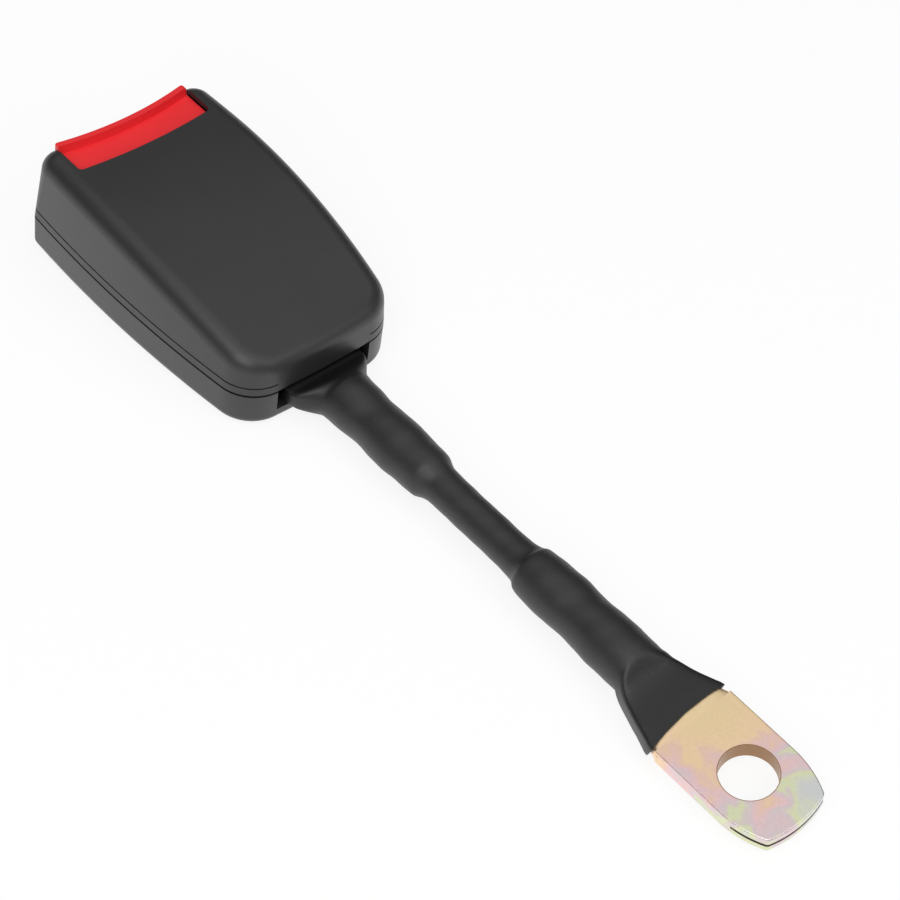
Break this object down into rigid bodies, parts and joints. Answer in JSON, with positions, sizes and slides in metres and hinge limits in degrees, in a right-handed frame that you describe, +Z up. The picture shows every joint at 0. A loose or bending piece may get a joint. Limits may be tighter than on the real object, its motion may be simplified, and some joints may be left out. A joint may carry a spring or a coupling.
{
  "type": "seat belt buckle stalk",
  "caption": "End-release seat belt buckle with a press button, on a sleeved steel rope stalk that ends in a flattened, bolt-down anchor tab.",
  "frame": {"origin": "centre of the anchor bolt bore, at the middle of the tab's thickness", "axes": "+X along the stalk towards the buckle's mouth, +Z up through the buckle's top cover"},
  "size_m": [0.205, 0.0456, 0.0252],
  "materials": {
    "yellow_zinc_steel": "yellow passivated zinc plate over pressed steel, faint iridescence",
    "plated_steel": "clear zinc plated pressed steel",
    "hardened_steel": "hardened steel, tumbled",
    "rope_steel": "galvanised steel wire rope",
    "spring_wire": "drawn spring wire",
    "cover_plastic": "black moulded plastic with a fine spark-eroded grain",
    "shrink_sleeve": "black heat-shrink sleeve, satin",
    "button_plastic": "red moulded plastic, semi-gloss",
    "slide_plastic": "black moulded acetal"
  },
  "bodies": {
    "anchor": {"anchor_terminal": "yellow_zinc_steel", "shrink_sleeve": "shrink_sleeve", "rope_core": "rope_steel", "rope_strand_1": "rope_steel", "rope_strand_2": "rope_steel", "rope_strand_3": "rope_steel", "rope_strand_4": "rope_steel", "rope_strand_5": "rope_steel", "rope_strand_6": "rope_steel"},
    "buckle": {"buckle_terminal": "plated_steel", "upper_cover": "cover_plastic", "lower_cover": "cover_plastic", "buckle_frame": "plated_steel", "frame_rivet": "plated_steel", "latch_pin": "plated_steel", "button_spring_left": "spring_wire", "button_spring_right": "spring_wire", "ejector_spring": "spring_wire", "latch_spring": "spring_wire"},
    "button": {"press_button": "button_plastic"},
    "lock_bar": {"lock_bar": "hardened_steel"},
    "ejector": {"ejector": "slide_plastic"},
    "latch": {"latch": "hardened_steel"}
  },
  "joints": [
    {"name": "stalk_flex", "type": "hinge", "parent": "anchor", "child": "buckle", "pos_m": [0.074, 0, 0.00135], "axis": [0, -1, 0], "range_deg": [-20, 20], "stiffness_Nm_per_rad": 2, "deforming": ["shrink_sleeve", "rope_core", "rope_strand_1", "rope_strand_2", "rope_strand_3", "rope_strand_4", "rope_strand_5", "rope_strand_6"]},
    {"name": "button_press", "type": "slide", "parent": "buckle", "child": "button", "axis": [-1, 0, 0], "range_m": [0, 0.003], "stiffness_N_per_m": 800, "deforming": ["button_spring_left", "button_spring_right"]},
    {"name": "ejector_slide", "type": "slide", "parent": "buckle", "child": "ejector", "axis": [-1, 0, 0], "range_m": [0, 0.012], "stiffness_N_per_m": 300, "deforming": ["ejector_spring"]},
    {"name": "latch_swing", "type": "hinge", "parent": "buckle", "child": "latch", "pos_m": [0.144, 0, 0.00705], "axis": [0, 1, 0], "range_deg": [0, 11.5], "deforming": ["latch_spring"]},
    {"name": "lock_bar_slide", "type": "slide", "parent": "button", "child": "lock_bar", "axis": [1, 0, 0], "range_m": [0, 0.0028]}
  ],
  "couplings": [
    {"joint": "latch_swing", "follows": "ejector_slide", "rad_per_m": 16.72},
    {"joint": "lock_bar_slide", "follows": "ejector_slide", "ratio": 0.2333}
  ]
}
